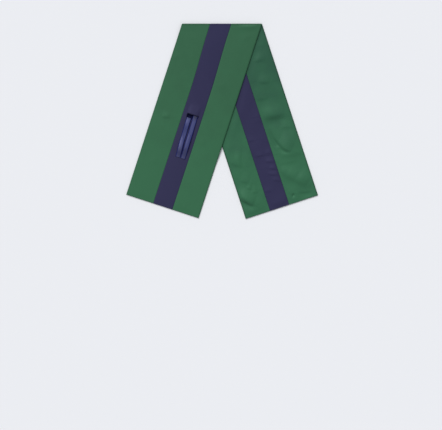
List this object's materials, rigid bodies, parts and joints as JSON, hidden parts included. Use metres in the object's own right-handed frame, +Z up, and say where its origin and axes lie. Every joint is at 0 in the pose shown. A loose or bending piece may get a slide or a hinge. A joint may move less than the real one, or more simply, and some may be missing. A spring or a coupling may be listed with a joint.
{
  "type": "silk scarf",
  "caption": "Striped silk strip scarf with a drawstring channel, laid flat and folded so that its legs splay, with ribbon ends out of a slit.",
  "frame": {"origin": "centre of the laid scarf's outline, on the surface that it lies on", "axes": "+Z up from the surface; +Y from the two hems towards the fold; +X from the upper leg to the lower leg"},
  "size_m": [0.3833, 0.39, 0.0065],
  "materials": {
    "green_silk": "silk taffeta, soft sheen",
    "navy_silk": "silk taffeta, soft sheen",
    "satin_ribbon": "satin ribbon, clear sheen"
  },
  "bodies": {
    "root": {"upper_front_left": "green_silk", "upper_front_band": "navy_silk", "upper_front_right": "green_silk", "upper_back_left": "green_silk", "upper_back_band": "navy_silk", "upper_back_right": "green_silk", "lower_back_left": "green_silk", "lower_back_band": "navy_silk", "lower_back_right": "green_silk", "lower_front_left": "green_silk", "lower_front_band": "navy_silk", "lower_front_right": "green_silk", "ribbon_left": "satin_ribbon", "ribbon_right": "satin_ribbon"}
  },
  "joints": []
}
